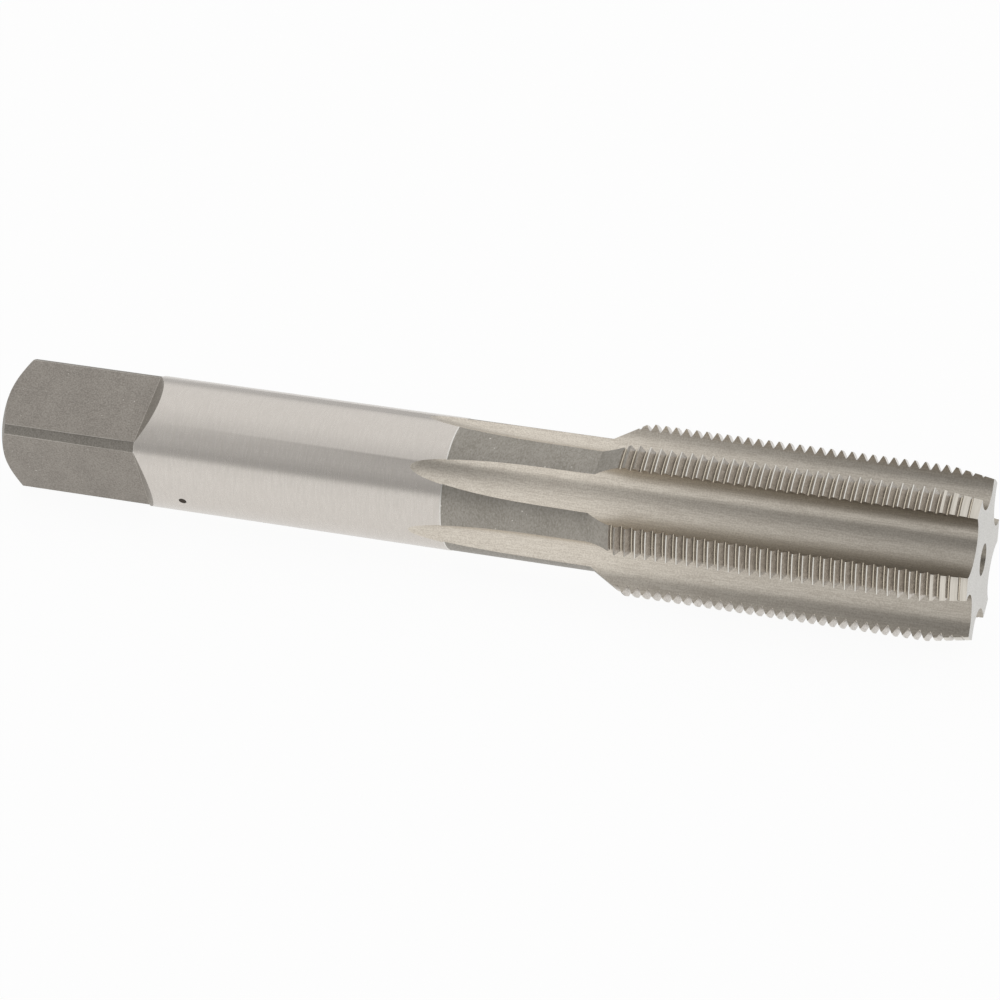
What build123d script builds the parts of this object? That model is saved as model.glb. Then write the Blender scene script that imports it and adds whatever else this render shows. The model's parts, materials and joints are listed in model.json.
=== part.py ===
from build123d import *
from math import acos, atan, cos, degrees, pi, radians, sin, tan
import os

# Straight flute hand tap, ground from one bar of high speed steel.
# Lengths are in millimetres and angles in degrees.
# The tap is turned and ground standing on its axis, drive end at the bottom,
# and is then laid down with the axis along X and one flute straight below.

# Overall sizes
overall_length = 102.4
shank_diameter = 13.6
shank_length = 48.5
neck_diameter = 13.5

# Thread: a 60 degree form with a narrow flat at the crest and a sharp root
thread_diameter = 17.46
thread_pitch = 25.4 / 24
thread_length = 35.1
thread_angle = 60
crest_flat = 0.14
first_groove_from_end = 0.23
ramp_angle = 30

# Lead chamfer, which tapers the first teeth at the cutting end
lead_length = 4.45
point_diameter = 15.95

# Flutes: a small hook arc under the cutting face and a larger arc to the heel,
# with a floor that sinks a little towards the cutting end
flute_count = 6
flute_core_diameter = 11.6
flute_point_core_diameter = 10.7
flute_hook_radius = 2.57
flute_hook_arc = 105
flute_heel_radius = 4.02
flute_full_length = 43.84
flute_wheel_radius = 108.0

# Drive square
square_across_flats = 10.2
square_corner_diameter = 13.4
square_length = 15.35
square_shoulder_angle = 45
end_face_diameter = 9.8
end_chamfer_angle = 30
square_turn = 30

# Centre holes at both ends
centre_hole_diameter = 3.25
centre_hole_angle = 60
centre_pilot_diameter = 1.3
centre_pilot_depth = 3.2

# Dimple that the hardness test leaves on the shank
dimple_diameter = 0.84
dimple_depth = 0.18
dimple_from_drive_end = 20.4
dimple_turn = 214.1

# How far cutting tools run past the surface that they cut
overrun = 1.0
groove_overrun = 0.08
groove_spare_arc = 2
least_groove_depth = 0.04

# Radii and heights that follow from the sizes above
shank_radius = shank_diameter / 2
neck_radius = neck_diameter / 2
thread_radius = thread_diameter / 2
point_radius = point_diameter / 2
corner_radius = square_corner_diameter / 2
end_face_radius = end_face_diameter / 2
core_radius = flute_core_diameter / 2
point_core_radius = flute_point_core_diameter / 2
flank_slope = tan(radians(thread_angle / 2))
thread_depth = (thread_pitch - crest_flat) / 2 / flank_slope
root_radius = thread_radius - thread_depth
ramp_length = (thread_radius - neck_radius) / tan(radians(ramp_angle))
end_chamfer_length = (corner_radius - end_face_radius) * tan(radians(end_chamfer_angle))
ramp_top = overall_length - thread_length
ramp_foot = ramp_top - ramp_length
lead_start = overall_length - lead_length

# Blank: one turned outline from the drive end up to the cutting end
with BuildPart() as blank:
    with BuildSketch(Plane.XZ):
        with BuildLine():
            Polyline(
                (0, 0),
                (end_face_radius, 0),
                (corner_radius, end_chamfer_length),
                (corner_radius, square_length),
                (shank_radius, square_length),
                (shank_radius, shank_length),
                (neck_radius, shank_length),
                (neck_radius, ramp_foot),
                (thread_radius, ramp_top),
                (thread_radius, lead_start),
                (point_radius, overall_length),
                (0, overall_length),
                close=True,
            )
        make_face()
    revolve(axis=Axis.Z)

# Milling cut for one flat of the square, with the sloped shoulder where it ends
flat_distance = square_across_flats / 2
cut_height = shank_radius - flat_distance + overrun
shoulder_run = cut_height / tan(radians(square_shoulder_angle))
with BuildPart() as flat_cutter:
    with BuildSketch(Plane.XZ):
        with BuildLine():
            Polyline(
                (flat_distance, -overrun),
                (flat_distance, square_length),
                (flat_distance + cut_height, square_length + shoulder_run),
                (flat_distance + cut_height, -overrun),
                close=True,
            )
        make_face()
    extrude(amount=shank_diameter / 2, both=True)

# Grinding cut for one flute: straight along its sloping floor, then the wheel runs out
floor_start = Vector(core_radius, 0, overall_length - flute_full_length)
floor_slope = atan((core_radius - point_core_radius) / flute_full_length)
along_floor = Vector(-sin(floor_slope), 0, cos(floor_slope))
to_wheel = Vector(cos(floor_slope), 0, sin(floor_slope))
run_out_height = thread_radius - core_radius
run_out_turn = degrees(acos(1 - run_out_height / flute_wheel_radius))
with BuildPart() as flute_cutter:
    with BuildSketch(Plane(floor_start, x_dir=to_wheel, z_dir=along_floor)) as flute_form:
        with BuildLine():
            hook = JernArc((0, 0), (0, -1), flute_hook_radius, flute_hook_arc)
            heel = JernArc((0, 0), (0, 1), flute_heel_radius, -90)
            Polyline(hook @ 1, ((heel @ 1).X, (hook @ 1).Y), heel @ 1)
        make_face()
    extrude(amount=flute_full_length + overrun)
    revolve(
        flute_form.sketch,
        axis=Axis(floor_start + to_wheel * flute_wheel_radius, (0, -1, 0)),
        revolution_arc=run_out_turn,
    )


def turn_to_crest(arc_radius):
    """Angle about the tap from the flute's floor to where its arc meets the crest circle."""
    distance = core_radius + arc_radius
    cosine = (thread_radius**2 + distance**2 - arc_radius**2) / (2 * thread_radius * distance)
    return degrees(acos(cosine))


# The gap between two lands is centred midway between them at the crest
flute_spacing = 360 / flute_count
hook_turn = turn_to_crest(flute_hook_radius)
heel_turn = turn_to_crest(flute_heel_radius)
flute_turn = flute_spacing / 2 - (heel_turn - hook_turn) / 2

# One thread groove, as long as a land is wide, with room to spare at both ends
lead_angle = degrees(atan(thread_pitch / (pi * thread_diameter)))
groove_top = thread_radius + groove_overrun
groove_half_width = (groove_top - root_radius) * flank_slope
groove_arc = flute_spacing / 2 + groove_spare_arc
with BuildPart() as groove_cutter:
    with BuildSketch(Plane.XZ):
        with BuildLine():
            Polyline(
                (root_radius, 0),
                (groove_top, groove_half_width),
                (groove_top, -groove_half_width),
                close=True,
            )
        make_face()
    revolve(axis=Axis.Z, revolution_arc=groove_arc)


def blank_radius(height):
    """Radius of the blank beside the thread, on the ramp, the full thread or the lead."""
    if height < ramp_top:
        return thread_radius - (ramp_top - height) * tan(radians(ramp_angle))
    if height > lead_start:
        return thread_radius - (height - lead_start) * (thread_radius - point_radius) / lead_length
    return thread_radius


def groove_places():
    """A place for each groove on each land; the grooves of the six lands join into one helix."""
    places = []
    for land in range(flute_count):
        turn = land * flute_spacing
        height = overall_length - first_groove_from_end + thread_pitch * turn / 360
        while height > ramp_foot:
            if blank_radius(height) - root_radius > least_groove_depth:
                centred = Location((0, 0, height), (0, 0, turn))
                tilted = Location((0, 0, 0), (lead_angle, 0, 0))
                begun = Location((0, 0, 0), (0, 0, -groove_arc / 2))
                places.append(centred * tilted * begun)
            height -= thread_pitch
    return places


# Centre hole: a cone for the lathe centre, then a narrow pilot that keeps its tip free
cone_depth = (centre_hole_diameter - centre_pilot_diameter) / 2 / tan(radians(centre_hole_angle / 2))
with BuildPart() as centre_drill:
    with BuildSketch(Plane.XZ):
        with BuildLine():
            Polyline(
                (0, 0),
                (centre_hole_diameter / 2, 0),
                (centre_pilot_diameter / 2, cone_depth),
                (centre_pilot_diameter / 2, centre_pilot_depth),
                (0, centre_pilot_depth),
                close=True,
            )
        make_face()
    revolve(axis=Axis.Z)

# Ball whose cap leaves the dimple in the shank
dimple_ball_radius = ((dimple_diameter / 2) ** 2 + dimple_depth**2) / 2 / dimple_depth
dimple_reach = shank_radius + dimple_ball_radius - dimple_depth
dimple_centre = (
    dimple_reach * cos(radians(dimple_turn)),
    dimple_reach * sin(radians(dimple_turn)),
    dimple_from_drive_end,
)

# The tap: blank, then square, flutes, teeth, centre holes and dimple
with BuildPart() as upright_tap:
    add(blank.part)
    with PolarLocations(0, 4, start_angle=square_turn):
        add(flat_cutter.part, mode=Mode.SUBTRACT)
    with PolarLocations(0, flute_count, start_angle=flute_turn):
        add(flute_cutter.part, mode=Mode.SUBTRACT)
    with Locations(*groove_places()):
        add(groove_cutter.part, mode=Mode.SUBTRACT)
    add(centre_drill.part, mode=Mode.SUBTRACT)
    with Locations(Location((0, 0, overall_length), (180, 0, 0))):
        add(centre_drill.part, mode=Mode.SUBTRACT)
    with Locations(dimple_centre):
        Sphere(dimple_ball_radius, mode=Mode.SUBTRACT)

# Laid down: the axis runs along X from the drive end, and one flute faces the table
with BuildPart() as straight_flute_tap:
    with Locations(Plane.YZ):
        add(upright_tap.part)

straight_flute_tap.part.label = "straight_flute_tap"

os.makedirs("parts", exist_ok=True)
export_step(straight_flute_tap.part, "parts/straight_flute_tap.step")
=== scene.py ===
import json
from math import acos, atan, cos, pi, radians, sin, tan

import bmesh
import bpy
from mathutils import Matrix, Vector

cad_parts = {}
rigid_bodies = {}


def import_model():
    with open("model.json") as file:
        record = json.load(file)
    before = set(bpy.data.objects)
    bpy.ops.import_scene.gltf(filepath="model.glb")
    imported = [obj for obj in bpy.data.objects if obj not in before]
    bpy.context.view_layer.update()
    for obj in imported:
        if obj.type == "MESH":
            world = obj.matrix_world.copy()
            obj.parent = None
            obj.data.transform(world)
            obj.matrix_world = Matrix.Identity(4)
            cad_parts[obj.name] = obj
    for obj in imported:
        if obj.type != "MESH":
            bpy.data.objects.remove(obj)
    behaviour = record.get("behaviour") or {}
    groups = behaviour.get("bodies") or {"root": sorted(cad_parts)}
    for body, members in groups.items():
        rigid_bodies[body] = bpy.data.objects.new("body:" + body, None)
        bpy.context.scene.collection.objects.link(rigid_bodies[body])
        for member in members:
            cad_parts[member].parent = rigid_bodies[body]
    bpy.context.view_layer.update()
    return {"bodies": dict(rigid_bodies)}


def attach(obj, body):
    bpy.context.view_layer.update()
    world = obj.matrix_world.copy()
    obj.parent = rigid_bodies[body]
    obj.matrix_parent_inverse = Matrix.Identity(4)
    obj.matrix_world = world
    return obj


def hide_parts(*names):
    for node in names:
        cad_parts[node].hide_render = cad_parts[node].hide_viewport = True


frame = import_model()
bpy.ops.object.select_all(action="DESELECT")

# Camera
# A long lens on a stand looks down on the tap from its cutting end, a little to the right.
# The stand is not quite level, so the picture leans by a degree and a half.
mm = 0.001
camera_aim = Vector((52.89, -0.42, -0.90)) * mm
camera_distance = 399.9 * mm
camera_azimuth = radians(17.0)
camera_elevation = radians(23.02)
camera_roll = radians(1.42)
lens_length = 142.0
sensor_width = 36.0
nearest_seen = 10 * mm
towards_camera = Vector((
    sin(camera_azimuth) * cos(camera_elevation),
    -cos(camera_azimuth) * cos(camera_elevation),
    sin(camera_elevation),
))
camera_turn = (-towards_camera).to_track_quat("-Z", "Y").to_matrix()
camera_turn = camera_turn @ Matrix.Rotation(camera_roll, 3, "Z")
bpy.ops.object.camera_add(
    location=camera_aim + towards_camera * camera_distance,
    rotation=camera_turn.to_euler(),
)
camera = bpy.context.object
camera.data.lens = lens_length
camera.data.sensor_width = sensor_width
camera.data.clip_start = nearest_seen
bpy.context.scene.camera = camera

# Turned blank
# One bar of high speed steel, turned to its outline, hardened, and ground round at the shank,
# the thread's crests and the lead. The drive end, the neck and the ramp stay dull from hardening.
overall_length = 102.4 * mm
end_face_radius = 4.9 * mm
end_chamfer_end = 1.04 * mm
corner_radius = 6.7 * mm
square_length = 15.35 * mm
shank_radius = 6.8 * mm
shank_end = 48.5 * mm
edge_break = 0.12 * mm
neck_radius = 6.75 * mm
thread_radius = 8.73 * mm
thread_length = 35.1 * mm
thread_pitch = 25.4 / 24 * mm
ramp_angle = radians(30)
lead_length = 4.45 * mm
point_radius = 7.975 * mm
turned_steps = 144
near_enough = 0.01 * mm

# How many patches, grains and nicks of tone the steel has in a millimetre, the range in which most
# of a noise lies, and the few peaks of it that become nicks. The grain of real steel is too fine to
# show, so it is drawn at a seventh of a millimetre.
patches_per_mm = 0.35
grains_per_mm = 7
nicks_per_mm = 2.6
noise_low = 0.3
noise_high = 0.7
nick_starts = 0.775
nick_full = 0.80
brushed_gloss = 0.5


def hex_to_linear(code):
    """An sRGB hex colour as linear red, green, blue and alpha."""
    parts = [int(code[i:i + 2], 16) / 255 for i in (1, 3, 5)]
    linear = [p / 12.92 if p <= 0.04045 else ((p + 0.055) / 1.055) ** 2.4 for p in parts]
    return (*linear, 1.0)


def add_node(owner, kind, settings=None, links=None):
    """Adds a node to a material or world, sets its properties and inputs, and links its inputs."""
    node = owner.node_tree.nodes.new(kind)
    for key, value in (settings or {}).items():
        if isinstance(key, str) and hasattr(node, key):
            setattr(node, key, value)
        else:
            node.inputs[key].default_value = value
    for key, socket in (links or {}).items():
        owner.node_tree.links.new(socket, node.inputs[key])
    return node


def steel_finish(
    name, light, dark, roughness, marks, mark_depth,
    lay=None, nicks=None, uneven=0.05, clouds=0.35, speckle=0.0,
):
    """Hardened high speed steel. Marks are how many the work left in a millimetre along X, Y and Z.
    Lay is the turn of its gloss about the marks, nicks the colour of small bright dents, and uneven
    how far the roughness departs from its mean. Clouds and speckle are how strongly the tone varies
    in broad patches and in fine grains beside the marks."""
    material = bpy.data.materials.new(name)
    material.use_nodes = True
    shader = material.node_tree.nodes["Principled BSDF"]
    shader.inputs["Metallic"].default_value = 1.0
    place = add_node(material, "ShaderNodeTexCoord").outputs["Object"]
    lines = add_node(
        material, "ShaderNodeMapping", {"Scale": [count / mm for count in marks]}, {"Vector": place}
    )
    grain = add_node(
        material, "ShaderNodeTexNoise", {"Scale": 1.0, "Detail": 3.0, "Roughness": 0.6},
        {"Vector": lines.outputs["Vector"]},
    )
    cloud = add_node(
        material, "ShaderNodeTexNoise", {"Scale": patches_per_mm / mm, "Detail": 2.0},
        {"Vector": place},
    )
    both = add_node(
        material, "ShaderNodeMath", {"operation": "MULTIPLY_ADD", 1: clouds, 2: -clouds / 2},
        {0: cloud.outputs["Fac"]},
    )
    both = add_node(
        material, "ShaderNodeMath", {"operation": "ADD"}, {0: grain.outputs["Fac"], 1: both.outputs[0]}
    )
    if speckle:
        grains = add_node(
            material, "ShaderNodeTexNoise", {"Scale": grains_per_mm / mm, "Detail": 0.0},
            {"Vector": place},
        )
        grains = add_node(
            material, "ShaderNodeMath", {"operation": "MULTIPLY_ADD", 1: speckle, 2: -speckle / 2},
            {0: grains.outputs["Fac"]},
        )
        both = add_node(
            material, "ShaderNodeMath", {"operation": "ADD"}, {0: both.outputs[0], 1: grains.outputs[0]}
        )
    tone = add_node(
        material, "ShaderNodeMapRange", {"From Min": noise_low, "From Max": noise_high},
        {"Value": both.outputs[0]},
    )
    colour = add_node(
        material, "ShaderNodeMix",
        {"data_type": "RGBA", 6: hex_to_linear(dark), 7: hex_to_linear(light)},
        {0: tone.outputs["Result"]},
    )
    if nicks:
        specks = add_node(
            material, "ShaderNodeTexNoise", {"Scale": nicks_per_mm / mm, "Detail": 1.0},
            {"Vector": place},
        )
        dents = add_node(
            material, "ShaderNodeMapRange", {"From Min": nick_starts, "From Max": nick_full},
            {"Value": specks.outputs["Fac"]},
        )
        colour = add_node(
            material, "ShaderNodeMix", {"data_type": "RGBA", 7: hex_to_linear(nicks)},
            {0: dents.outputs["Result"], 6: colour.outputs[2]},
        )
    gloss = add_node(
        material, "ShaderNodeMapRange",
        {
            "From Min": noise_low, "From Max": noise_high,
            "To Min": roughness + uneven, "To Max": roughness - uneven,
        },
        {"Value": grain.outputs["Fac"]},
    )
    relief = add_node(
        material, "ShaderNodeBump", {"Strength": 1.0, "Distance": mark_depth},
        {"Height": grain.outputs["Fac"]},
    )
    if lay is not None:
        along = add_node(material, "ShaderNodeCombineXYZ", {"X": 1.0})
        shader.inputs["Anisotropic"].default_value = brushed_gloss
        shader.inputs["Anisotropic Rotation"].default_value = lay
        material.node_tree.links.new(along.outputs["Vector"], shader.inputs["Tangent"])
    material.node_tree.links.new(colour.outputs[2], shader.inputs["Base Color"])
    material.node_tree.links.new(gloss.outputs["Result"], shader.inputs["Roughness"])
    material.node_tree.links.new(relief.outputs["Normal"], shader.inputs["Normal"])
    return material


# The shank is ground between centres, so its marks run round it and draw each reflection out along
# it. They are nearer 0.03 mm apart on the real tap, too fine to show, and are drawn at 0.2 mm.
ground_shank = steel_finish(
    "round_ground_steel", "#DAD4CD", "#D3CDC6", 0.28, (6, 0.8, 0.8), 0.0004 * mm,
    lay=0.0, uneven=0.015, clouds=0.15, speckle=0.4,
)

# Salt bath hardening leaves the surfaces that are not ground afterwards grey and fine grained. The
# neck was turned smoother than the corners of the square, and is a little paler and glossier.
hardened_steel = steel_finish(
    "hardened_steel", "#A5A098", "#8E8982", 0.55, (6, 6, 6), 0.002 * mm, nicks="#C4BFB7", speckle=0.4
)
hardened_neck = steel_finish(
    "hardened_turned_steel", "#ADA8A0", "#979289", 0.45, (6, 3, 3), 0.0015 * mm,
    nicks="#DAD6CE", speckle=0.4,
)

# The crests are ground bright; those of the lead are the last work done and are warmer. The face at
# the end is ground too and shines less. The small slopes at both ends of the shank are given a paler
# steel, a painted highlight, so that they show as fine bright lines.
ground_crest = steel_finish(
    "ground_crest_steel", "#EEECE5", "#DFDCD4", 0.3, (5, 0.2, 0.2), 0.0005 * mm, lay=0.0
)
ground_lead = steel_finish(
    "ground_lead_steel", "#DFD9CF", "#CDC7BC", 0.3, (5, 0.2, 0.2), 0.0005 * mm, lay=0.0
)
ground_end = steel_finish(
    "ground_end_steel", "#DEDCD8", "#C9C7C2", 0.4, (5, 5, 5), 0.001 * mm, speckle=0.5
)
edge_painted_highlight = steel_finish("broken_edge_steel", "#F0EDE8", "#E6E3DD", 0.4, (5, 5, 5), 0.0005 * mm)

ramp_top = overall_length - thread_length
ramp_foot = ramp_top - (thread_radius - neck_radius) / tan(ramp_angle)
first_crest_end = ramp_top + thread_pitch
lead_start = overall_length - lead_length

# Where each turned stretch ends along the axis, its radius there and its finish
stations = [
    (end_chamfer_end, corner_radius, hardened_steel),
    (square_length, corner_radius, hardened_steel),
    (square_length + edge_break, shank_radius, edge_painted_highlight),
    (shank_end, shank_radius, ground_shank),
    (shank_end + edge_break, neck_radius, edge_painted_highlight),
    (ramp_foot, neck_radius, hardened_neck),
    (ramp_top, thread_radius, hardened_neck),
    (first_crest_end, thread_radius, hardened_neck),
    (lead_start, thread_radius, ground_crest),
    (overall_length, point_radius, ground_lead),
]
finishes = [
    hardened_steel, ground_shank, edge_painted_highlight, hardened_neck, ground_crest, ground_lead, ground_end
]

bpy.ops.mesh.primitive_circle_add(
    vertices=turned_steps,
    radius=end_face_radius,
    fill_type="NGON",
    rotation=(0, pi / 2, 0),
)
tap = bpy.context.object
tap.name = "tap"
bpy.ops.object.transform_apply(location=False, rotation=True, scale=False)
bpy.ops.object.mode_set(mode="EDIT")
bpy.ops.mesh.select_all(action="SELECT")
place, radius = 0.0, end_face_radius
for next_place, next_radius, _ in stations:
    bpy.ops.mesh.extrude_region_move(TRANSFORM_OT_translate={"value": (next_place - place, 0, 0)})
    growth = next_radius / radius
    bpy.ops.transform.resize(value=(1, growth, growth))
    place, radius = next_place, next_radius
bpy.ops.mesh.select_all(action="SELECT")
bpy.ops.mesh.normals_make_consistent(inside=False)
bpy.ops.object.mode_set(mode="OBJECT")
for finish in finishes:
    tap.data.materials.append(finish)
for face in tap.data.polygons:
    face.material_index = finishes.index(ground_end)
    if face.center.x < overall_length - near_enough:
        beyond = [finish for end, _, finish in stations if face.center.x < end]
        face.material_index = finishes.index(beyond[0])


def cut(cutter):
    """Takes the cutter's shape out of the tap, and keeps the cutter's finish on the new faces."""
    bpy.ops.object.select_all(action="DESELECT")
    bpy.context.view_layer.objects.active = tap
    tap.select_set(True)
    bpy.ops.object.modifier_add(type="BOOLEAN")
    modifier = tap.modifiers[-1]
    modifier.operation = "DIFFERENCE"
    modifier.solver = "EXACT"
    modifier.material_mode = "TRANSFER"
    modifier.object = cutter
    bpy.ops.object.modifier_apply(modifier=modifier.name)
    bpy.data.objects.remove(cutter)


# Centre holes
# A centre drill bores both ends, so that the tap turns between centres while it is ground.
# The cone carries the centre, and the narrow pilot beyond it keeps the centre's tip free.
hole_radius = 1.625 * mm
pilot_radius = 0.65 * mm
pilot_depth = 3.2 * mm
cone_half_angle = radians(30)
hole_steps = 48
cut_overrun = 1.0 * mm
cone_depth = (hole_radius - pilot_radius) / tan(cone_half_angle)

# Drilled before hardening, so its wall is dull and darker than the ground face round it.
drilled_steel = steel_finish("drilled_steel", "#989288", "#7A746A", 0.4, (3, 3, 3), 0.002 * mm)
for end, inward in ((0.0, 1), (overall_length, -1)):
    bpy.ops.mesh.primitive_circle_add(
        vertices=hole_steps,
        radius=hole_radius,
        fill_type="NGON",
        location=(end - inward * cut_overrun, 0, 0),
        rotation=(0, pi / 2, 0),
    )
    drill = bpy.context.object
    bpy.ops.object.transform_apply(location=True, rotation=True, scale=False)
    bpy.ops.object.mode_set(mode="EDIT")
    bpy.ops.mesh.select_all(action="SELECT")
    for step, growth in (
        (cut_overrun, 1),
        (cone_depth, pilot_radius / hole_radius),
        (pilot_depth - cone_depth, 1),
    ):
        bpy.ops.mesh.extrude_region_move(TRANSFORM_OT_translate={"value": (inward * step, 0, 0)})
        bpy.ops.transform.resize(value=(1, growth, growth))
    bpy.ops.mesh.select_all(action="SELECT")
    bpy.ops.mesh.normals_make_consistent(inside=False)
    bpy.ops.object.mode_set(mode="OBJECT")
    drill.data.materials.append(drilled_steel)
    cut(drill)

# Dimple
# The hardness test presses a small ball or cone into the shank, and leaves a round dent
# with a dark bottom.
dimple_radius = 0.42 * mm
dimple_depth = 0.18 * mm
dimple_place = 20.4 * mm
dimple_turn = radians(214.1)
ball_radius = (dimple_radius**2 + dimple_depth**2) / 2 / dimple_depth
ball_reach = shank_radius + ball_radius - dimple_depth
dark_dent = steel_finish("dented_steel", "#57504A", "#3E3833", 0.5, (3, 3, 3), 0.001 * mm)
bpy.ops.mesh.primitive_uv_sphere_add(
    segments=32,
    ring_count=24,
    radius=ball_radius,
    location=(dimple_place, ball_reach * cos(dimple_turn), ball_reach * sin(dimple_turn)),
)
ball = bpy.context.object
bpy.ops.object.transform_apply(location=True, rotation=False, scale=False)
ball.data.materials.append(dark_dent)
cut(ball)

# Drive square
# Four flats are milled at the drive end for a tap wrench, before hardening, and the cutter's edge
# leaves a sloped shoulder where each one ends.
flat_count = 4
flat_distance = 5.1 * mm
square_turn = radians(30)
cut_height = shank_radius + cut_overrun - flat_distance

# Milled before the salt bath, so the flats are grey and fine grained, with a few small bright nicks.
milled_steel = steel_finish(
    "milled_hardened_steel", "#A9A39B", "#908A83", 0.50, (6, 6, 6), 0.002 * mm,
    nicks="#D2CDC5", speckle=0.4,
)


def select_vertices(mesh, test):
    """In edit mode, selects the vertices whose place passes the test, and what lies between them."""
    bpy.ops.mesh.select_all(action="DESELECT")
    shape = bmesh.from_edit_mesh(mesh)
    for vertex in shape.verts:
        vertex.select = test(vertex.co)
    shape.select_flush(True)
    bmesh.update_edit_mesh(mesh)


for side in range(flat_count):
    bpy.ops.mesh.primitive_cube_add(size=1, location=(0, 0, 0))
    cutter = bpy.context.object
    cutter.scale = (square_length + cut_overrun, 2 * shank_radius, cut_height)
    cutter.location = ((square_length - cut_overrun) / 2, 0, flat_distance + cut_height / 2)
    bpy.ops.object.transform_apply(location=True, rotation=False, scale=True)
    bpy.ops.object.mode_set(mode="EDIT")
    select_vertices(
        cutter.data,
        lambda co: co.x > square_length / 2 and co.z > flat_distance + cut_height / 2,
    )
    bpy.ops.transform.translate(value=(cut_height, 0, 0))
    bpy.ops.object.mode_set(mode="OBJECT")
    cutter.rotation_euler = (square_turn - pi / 2 + side * pi / 2, 0, 0)
    bpy.ops.object.transform_apply(location=False, rotation=True, scale=False)
    cutter.data.materials.append(milled_steel)
    cut(cutter)

# The shoulders get a brighter copy of the flats' steel: painted light, to offset the darker walls
# they mirror. The long edges are broken by a hair, and the mill's corner leaves as small a slope
# under each shoulder; both get a paler steel, a painted highlight, and show as fine pale lines.
shoulder_lean = -0.3
corner_break = 0.035 * mm
least_long_edge = 1.0 * mm
shoulder_painted_light = steel_finish(
    "milled_shoulder_painted_light", "#B8B2A9", "#9E9890", 0.55, (6, 6, 6), 0.002 * mm, speckle=0.4
)
# Paler steel on the small slopes of the square's edges: a painted highlight on real bevels.
corner_painted_highlight = steel_finish("rubbed_corner_steel", "#C6C1B8", "#B5AFA7", 0.4, (3, 3, 3), 0.0005 * mm)
tap.data.materials.append(shoulder_painted_light)
tap.data.materials.append(corner_painted_highlight)
for face in tap.data.polygons:
    if tap.data.materials[face.material_index] == milled_steel and face.normal.x < shoulder_lean:
        face.material_index = tap.data.materials.find(shoulder_painted_light.name)
milled = tap.data.materials.find(milled_steel.name)
shoulder = tap.data.materials.find(shoulder_painted_light.name)
turned = tap.data.materials.find(hardened_steel.name)
bpy.ops.object.mode_set(mode="EDIT")
bpy.ops.mesh.select_mode(type="EDGE")
bpy.ops.mesh.select_all(action="DESELECT")
shape = bmesh.from_edit_mesh(tap.data)
for edge in shape.edges:
    sides = sorted(face.material_index for face in edge.link_faces)
    ends = [vertex.co.x for vertex in edge.verts]
    long_edge = sides == sorted((milled, turned)) and abs(ends[0] - ends[1]) > least_long_edge
    if long_edge or sides == sorted((milled, shoulder)):
        edge.select_set(True)
bmesh.update_edit_mesh(tap.data)
bpy.ops.mesh.bevel(
    offset=corner_break,
    segments=1,
    affect="EDGES",
    material=tap.data.materials.find(corner_painted_highlight.name),
)
bpy.ops.object.mode_set(mode="OBJECT")

# Flutes
# Six straight flutes are ground from the solid with a formed wheel, from the cutting end back.
# A small hook arc undercuts each cutting face, a larger arc runs up to the next land's heel,
# and the wheel's own radius lets the flute run out over the neck to the end of the shank.
flute_count = 6
flute_turn = radians(26.5)
core_radius = 5.8 * mm
point_core_radius = 5.35 * mm
hook_radius = 2.57 * mm
hook_arc = radians(105)
heel_radius = 3.73 * mm
flute_full_length = 43.84 * mm
wheel_radius = 108.0 * mm
hook_steps = 18
heel_steps = 20
wheel_steps = 24
wheel_stop = overall_length - flute_full_length
wheel_turn = acos(1 - (thread_radius - core_radius) / wheel_radius)
floor_slope = atan((core_radius - point_core_radius) / flute_full_length)
point_merge = 0.001 * mm

# The wheel leaves lengthwise lines, too fine to show and so drawn 0.1 mm apart, and steel with a
# warmer tone than the shank's. Over that tone lies a painted shade along the tap: palest where the
# wheel ran out, and darker towards the cutting end. The stops give each place along the tap, in
# millimetres, and the share of the colour kept there.
flute_painted_shade_stops = [
    (46, 0.95), (51, 0.97), (57, 1.0), (63, 0.98), (75, 0.80), (85, 0.72), (95, 0.66), (102, 0.63),
]
ground_flute = steel_finish(
    "ground_flute_steel", "#E8E0D3", "#CFC6B9", 0.31, (0.4, 10, 10), 0.0006 * mm,
    lay=0.25, uneven=0.03, clouds=0.05, speckle=0.7,
)
flute_axes = add_node(
    ground_flute, "ShaderNodeSeparateXYZ",
    links={"Vector": add_node(ground_flute, "ShaderNodeTexCoord").outputs["Object"]},
)
flute_reach = add_node(
    ground_flute, "ShaderNodeMapRange", {"From Min": 0.0, "From Max": overall_length},
    {"Value": flute_axes.outputs["X"]},
)
flute_painted_shade_ramp = add_node(
    ground_flute, "ShaderNodeValToRGB", links={"Fac": flute_reach.outputs["Result"]}
)
while len(flute_painted_shade_ramp.color_ramp.elements) < len(flute_painted_shade_stops):
    flute_painted_shade_ramp.color_ramp.elements.new(0.5)
for stop, (shade_place, level) in zip(flute_painted_shade_ramp.color_ramp.elements, flute_painted_shade_stops):
    stop.position = shade_place * mm / overall_length
    stop.color = (level, level, level, 1)
flute_shader = ground_flute.node_tree.nodes["Principled BSDF"]
# The steel's colour is multiplied by the painted shade along the tap.
flute_colour_with_painted_shade = add_node(
    ground_flute, "ShaderNodeMix", {"data_type": "RGBA", "blend_type": "MULTIPLY", 0: 1.0},
    {6: flute_shader.inputs["Base Color"].links[0].from_socket, 7: flute_painted_shade_ramp.outputs["Color"]},
)
ground_flute.node_tree.links.new(flute_colour_with_painted_shade.outputs[2], flute_shader.inputs["Base Color"])

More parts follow.
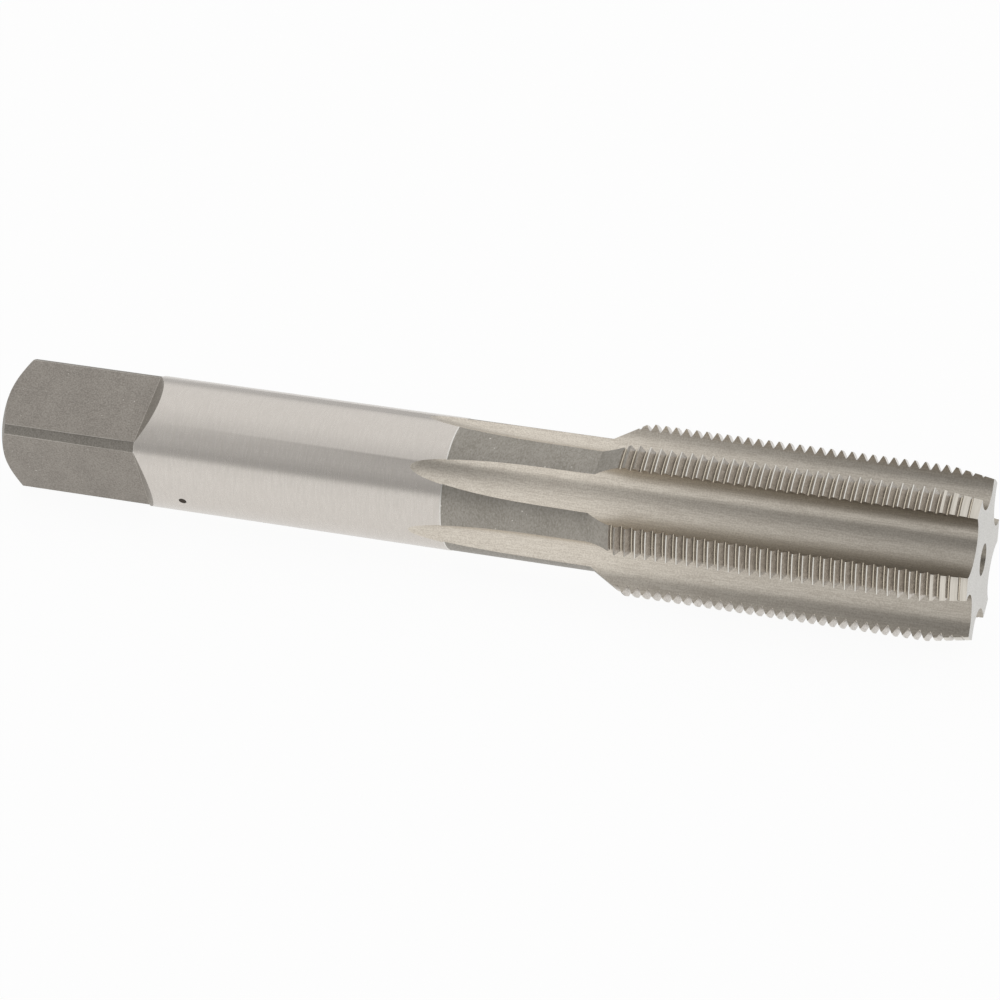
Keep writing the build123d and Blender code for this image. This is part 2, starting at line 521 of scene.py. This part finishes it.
# The wheel's form is drawn from one point of the floor, then swept along it and up the run-out.
floor = Vector((wheel_stop, core_radius, 0))
bpy.ops.mesh.primitive_plane_add(size=mm)
flute_cutter = bpy.context.object
bpy.ops.object.mode_set(mode="EDIT")
bpy.ops.mesh.select_mode(type="VERT")
bpy.ops.mesh.select_all(action="SELECT")
bpy.ops.mesh.merge(type="CENTER")
bpy.ops.transform.translate(value=floor)
bpy.ops.mesh.spin(
    steps=hook_steps,
    angle=-hook_arc,
    center=floor + Vector((0, hook_radius, 0)),
    axis=(1, 0, 0),
)
hook_height = hook_radius * (1 - cos(hook_arc))
bpy.ops.mesh.extrude_region_move(TRANSFORM_OT_translate={"value": (0, heel_radius - hook_height, 0)})
select_vertices(flute_cutter.data, lambda co: (co - floor).length < near_enough)
bpy.ops.mesh.spin(
    steps=heel_steps,
    angle=pi / 2,
    center=floor + Vector((0, heel_radius, 0)),
    axis=(1, 0, 0),
)
bpy.ops.mesh.select_all(action="SELECT")
bpy.ops.mesh.edge_face_add()
bpy.ops.mesh.extrude_region_move(
    TRANSFORM_OT_translate={"value": (flute_full_length + cut_overrun, 0, 0)}
)
select_vertices(flute_cutter.data, lambda co: co.x < wheel_stop + near_enough)
bpy.ops.mesh.spin(
    steps=wheel_steps,
    angle=wheel_turn,
    center=floor + Vector((0, wheel_radius, 0)),
    axis=(0, 0, 1),
)
bpy.ops.mesh.select_all(action="SELECT")
bpy.ops.mesh.remove_doubles(threshold=point_merge)
bpy.ops.mesh.normals_make_consistent(inside=False)
bpy.ops.transform.rotate(value=floor_slope, orient_axis="Z", center_override=floor)
bpy.ops.object.mode_set(mode="OBJECT")
flute_cutter.data.materials.append(ground_flute)
for flute in range(flute_count):
    one = flute_cutter.copy()
    one.data = flute_cutter.data.copy()
    bpy.context.collection.objects.link(one)
    one.rotation_euler = (flute_turn + flute * 2 * pi / flute_count, 0, 0)
    cut(one)
bpy.data.objects.remove(flute_cutter)

# Thread
# The thread is ground after hardening with a wheel dressed to the 60 degree form: 24 turns to the
# inch, right hand, with a narrow flat left at the crest and another at the root.
crest_flat = 0.10 * mm
root_flat = 0.10 * mm
first_groove_from_end = 0.23 * mm
groove_overrun = 0.05 * mm
flank_angle = radians(30)
flank_slope = tan(flank_angle)
thread_depth = (thread_pitch - crest_flat - root_flat) / 2 / flank_slope
root_radius = thread_radius - thread_depth
groove_height = thread_depth + groove_overrun
groove_width = root_flat + 2 * groove_height * flank_slope
groove_turns = 38
groove_steps = 144
groove_start = overall_length - first_groove_from_end - (groove_turns - 1) * thread_pitch

# The thread's wheel leaves the flanks bright, with fine marks and a tone less even than a crest's.
ground_flank = steel_finish(
    "ground_flank_steel", "#DCD6CE", "#B6AFA6", 0.3, (9, 3, 3), 0.0008 * mm, lay=0.0, clouds=0.05
)

bpy.ops.mesh.primitive_plane_add(size=1, location=(0, 0, 0))
groove_cutter = bpy.context.object
groove_cutter.scale = (groove_width, groove_height, 1)
groove_cutter.location = (groove_start, root_radius + groove_height / 2, 0)
bpy.ops.object.transform_apply(location=True, rotation=False, scale=True)
bpy.ops.object.mode_set(mode="EDIT")
select_vertices(groove_cutter.data, lambda co: co.y < root_radius + groove_height / 2)
bpy.ops.transform.resize(value=(root_flat / groove_width, 1, 1))
bpy.ops.mesh.select_all(action="SELECT")
bpy.ops.mesh.delete(type="ONLY_FACE")
bpy.ops.object.mode_set(mode="OBJECT")
bpy.ops.object.modifier_add(type="SCREW")
helix = groove_cutter.modifiers[-1]
helix.axis = "X"
helix.angle = 2 * pi
helix.screw_offset = thread_pitch
helix.iterations = groove_turns
helix.steps = groove_steps
helix.render_steps = groove_steps
bpy.ops.object.modifier_apply(modifier=helix.name)
bpy.ops.object.mode_set(mode="EDIT")
bpy.ops.mesh.select_all(action="SELECT")
bpy.ops.mesh.fill_holes(sides=4)
bpy.ops.mesh.select_all(action="SELECT")
bpy.ops.mesh.normals_make_consistent(inside=False)
bpy.ops.object.mode_set(mode="OBJECT")
groove_cutter.data.materials.append(ground_flank)

# The flanks' colour is darkened towards the root, a painted shade for the narrow groove where little
# light comes in. The root's own flat is nearly as bright as a crest, with a trace of straw from the
# wheel's heat.
painted_root_shade = 0.6
painted_root_shade_height = 0.22 * mm
flank_axes = add_node(
    ground_flank, "ShaderNodeSeparateXYZ",
    links={"Vector": add_node(ground_flank, "ShaderNodeTexCoord").outputs["Object"]},
)
flank_across = add_node(
    ground_flank, "ShaderNodeCombineXYZ",
    links={"Y": flank_axes.outputs["Y"], "Z": flank_axes.outputs["Z"]},
)
flank_radius = add_node(
    ground_flank, "ShaderNodeVectorMath", {"operation": "LENGTH"}, {0: flank_across.outputs["Vector"]}
)
painted_flank_shade = add_node(
    ground_flank, "ShaderNodeMapRange",
    {
        "From Min": root_radius, "From Max": root_radius + painted_root_shade_height,
        "To Min": painted_root_shade, "To Max": 1.0,
    },
    {"Value": flank_radius.outputs["Value"]},
)
flank_shader = ground_flank.node_tree.nodes["Principled BSDF"]
# The flanks' colour is multiplied by the painted shade towards the root.
flank_colour_with_painted_shade = add_node(
    ground_flank, "ShaderNodeMix", {"data_type": "RGBA", "blend_type": "MULTIPLY", 0: 1.0},
    {6: flank_shader.inputs["Base Color"].links[0].from_socket, 7: painted_flank_shade.outputs["Result"]},
)
ground_flank.node_tree.links.new(flank_colour_with_painted_shade.outputs[2], flank_shader.inputs["Base Color"])
ground_root = steel_finish(
    "ground_root_steel", "#DED4C3", "#CEC4B2", 0.3, (6, 3, 3), 0.0005 * mm, lay=0.0
)
groove_cutter.data.materials.append(ground_root)
for face in groove_cutter.data.polygons:
    corners = [groove_cutter.data.vertices[index].co for index in face.vertices]
    if all(corner.yz.length < root_radius + near_enough for corner in corners):
        face.material_index = groove_cutter.data.materials.find(ground_root.name)
cut(groove_cutter)

# The cuts leave some points a hair apart, which are merged. The round surfaces are then shaded
# smooth, and the ground and milled edges stay sharp.
smooth_below = radians(17)
bpy.ops.object.select_all(action="DESELECT")
tap.select_set(True)
bpy.context.view_layer.objects.active = tap
bpy.ops.object.mode_set(mode="EDIT")
bpy.ops.mesh.select_mode(type="VERT")
bpy.ops.mesh.select_all(action="SELECT")
bpy.ops.mesh.remove_doubles(threshold=point_merge)
bpy.ops.mesh.dissolve_degenerate(threshold=point_merge)
bpy.ops.object.mode_set(mode="OBJECT")
bpy.ops.object.shade_smooth_by_angle(angle=smooth_below)

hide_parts("straight_flute_tap")
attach(tap, list(frame["bodies"])[0])

# Table and light
# The tap rests on a plain white board, on the crests of its two lowest lands and on the edge of the
# square. It stays level here, so the board leans under it. Grey studio walls stand round them under
# one wide soft light, a little behind overhead.
table_size = 4.0
rest_slope = atan(0.02363)
rest_place = Vector((67.89, 0, -8.165)) * mm
table_gap = 0.05 * mm
bpy.ops.mesh.primitive_plane_add(
    size=table_size,
    location=rest_place - Vector((0, 0, table_gap)),
    rotation=(0, rest_slope, 0),
)
table = bpy.context.object
table.name = "table"

# Matt coated board. The camera sees it as white with a trace of the tap's shadow, and the steel
# mirrors it as nearly white up to its near edge, which lies a little in front of the tap.
white_seen = 0.95
white_mirrored = 0.85
edge_mirrored = 0.45
edge_starts = -110 * mm
edge_ends = -160 * mm
white_board = bpy.data.materials.new("white_board")
white_board.use_nodes = True
board_shader = white_board.node_tree.nodes["Principled BSDF"]
board_shader.inputs["Base Color"].default_value = hex_to_linear("#F2F2F0")
board_shader.inputs["Roughness"].default_value = 0.9
board_path = add_node(white_board, "ShaderNodeLightPath")
board_mirrored = add_node(
    white_board, "ShaderNodeMath", {"operation": "MAXIMUM"},
    {0: board_path.outputs["Is Glossy Ray"], 1: board_path.outputs["Is Transmission Ray"]},
)
board_place = add_node(
    white_board, "ShaderNodeSeparateXYZ",
    links={"Vector": add_node(white_board, "ShaderNodeTexCoord").outputs["Object"]},
)
board_edge = add_node(
    white_board, "ShaderNodeMapRange",
    {
        "From Min": edge_ends, "From Max": edge_starts,
        "To Min": edge_mirrored, "To Max": white_mirrored,
    },
    {"Value": board_place.outputs["Y"]},
)
board_mirrored = add_node(
    white_board, "ShaderNodeMath", {"operation": "MULTIPLY"},
    {0: board_mirrored.outputs[0], 1: board_edge.outputs["Result"]},
)
board_seen = add_node(
    white_board, "ShaderNodeMath", {"operation": "MULTIPLY", 1: white_seen},
    {0: board_path.outputs["Is Camera Ray"]},
)
board_share = add_node(
    white_board, "ShaderNodeMath", {"operation": "MAXIMUM"},
    {0: board_seen.outputs[0], 1: board_mirrored.outputs[0]},
)
board_white = add_node(white_board, "ShaderNodeEmission", {"Color": (1, 1, 1, 1), "Strength": 1.0})
board_mix = add_node(
    white_board, "ShaderNodeMixShader",
    links={
        0: board_share.outputs[0],
        1: board_shader.outputs["BSDF"],
        2: board_white.outputs["Emission"],
    },
)
white_board.node_tree.links.new(
    board_mix.outputs["Shader"], white_board.node_tree.nodes["Material Output"].inputs["Surface"]
)
table.data.materials.append(white_board)

# Seen round the tap, in degrees from the near table edge over the top to the far edge, the studio is
# dim wall, then a broad soft light that fades in, and a low dim wall above the far sweep of the board.
half_turn = 180
light_level = 0.84
over_top = [
    (0, 0.50), (11, 0.66), (25, 0.77), (42, 0.78), (50, 0.85), (57, 0.88), (61, 0.81), (68, 0.84),
    (78, 0.90), (90, 0.95), (146, 0.97), (154, 0.74), (159, 0.64), (164, 0.68), (170, 1.15),
]

# Along the tap, the same walls end at the height where the light begins.
up_wall = [(0.0, 1.0), (0.10, 1.0), (0.16, 0.64), (0.26, 0.66), (0.36, 1.0)]
studio = bpy.data.worlds.new("studio")
bpy.context.scene.world = studio
studio.use_nodes = True
way = add_node(studio, "ShaderNodeTexCoord").outputs["Generated"]
axes = add_node(studio, "ShaderNodeSeparateXYZ", links={"Vector": way})
near = add_node(studio, "ShaderNodeMath", {"operation": "MULTIPLY", 1: -1.0}, {0: axes.outputs["Y"]})
turn = add_node(
    studio, "ShaderNodeMath", {"operation": "ARCTAN2"}, {0: axes.outputs["Z"], 1: near.outputs[0]}
)
turn = add_node(studio, "ShaderNodeMath", {"operation": "DIVIDE", 1: pi}, {0: turn.outputs[0]})
across_walls = add_node(studio, "ShaderNodeValToRGB", links={"Fac": turn.outputs[0]})
along_walls = add_node(studio, "ShaderNodeValToRGB", links={"Fac": axes.outputs["Z"]})
for walls, stops in (
    (across_walls, [(degrees / half_turn, level) for degrees, level in over_top]),
    (along_walls, up_wall),
):
    while len(walls.color_ramp.elements) < len(stops):
        walls.color_ramp.elements.new(0.5)
    for stop, (position, level) in zip(walls.color_ramp.elements, stops):
        stop.position = position
        stop.color = (level, level, level, 1)
dimmer = add_node(
    studio, "ShaderNodeMath", {"operation": "MINIMUM"},
    {0: across_walls.outputs["Color"], 1: along_walls.outputs["Color"]},
)

# The camera and its stand make the near wall darker straight in front of the tap and to the right,
# up to where the light begins.
stand_left = -0.24
stand_right = -0.13
stand_top = 58
stand_full = 42
stand_shade = 0.5
beside_camera = add_node(
    studio, "ShaderNodeMapRange", {"From Min": stand_left, "From Max": stand_right},
    {"Value": axes.outputs["X"]},
)
below_light = add_node(
    studio, "ShaderNodeMapRange",
    {"From Min": stand_top / half_turn, "From Max": stand_full / half_turn},
    {"Value": turn.outputs[0]},
)
shade = add_node(
    studio, "ShaderNodeMath", {"operation": "MULTIPLY"},
    {0: beside_camera.outputs["Result"], 1: below_light.outputs["Result"]},
)
shade = add_node(
    studio, "ShaderNodeMath", {"operation": "MULTIPLY_ADD", 1: -stand_shade, 2: 1.0},
    {0: shade.outputs[0]},
)
dimmer = add_node(
    studio, "ShaderNodeMath", {"operation": "MULTIPLY"}, {0: dimmer.outputs[0], 1: shade.outputs[0]}
)
strength = add_node(
    studio, "ShaderNodeMath", {"operation": "MULTIPLY", 1: light_level}, {0: dimmer.outputs[0]}
)
background = studio.node_tree.nodes["Background"]
background.inputs["Color"].default_value = (1, 1, 1, 1)
studio.node_tree.links.new(strength.outputs[0], background.inputs["Strength"])

# The light itself, over the middle of the tap
light_lean = radians(12.5)
lamp_along = 50 * mm
lamp_distance = 600 * mm
lamp_size = 1.2
lamp_power = 0.42
bpy.ops.object.light_add(
    type="AREA",
    location=(lamp_along, lamp_distance * sin(light_lean), lamp_distance * cos(light_lean)),
    rotation=(-light_lean, 0, 0),
)
lamp = bpy.context.object
lamp.data.size = lamp_size
lamp.data.energy = lamp_power

bpy.context.scene.view_settings.view_transform = "Standard"
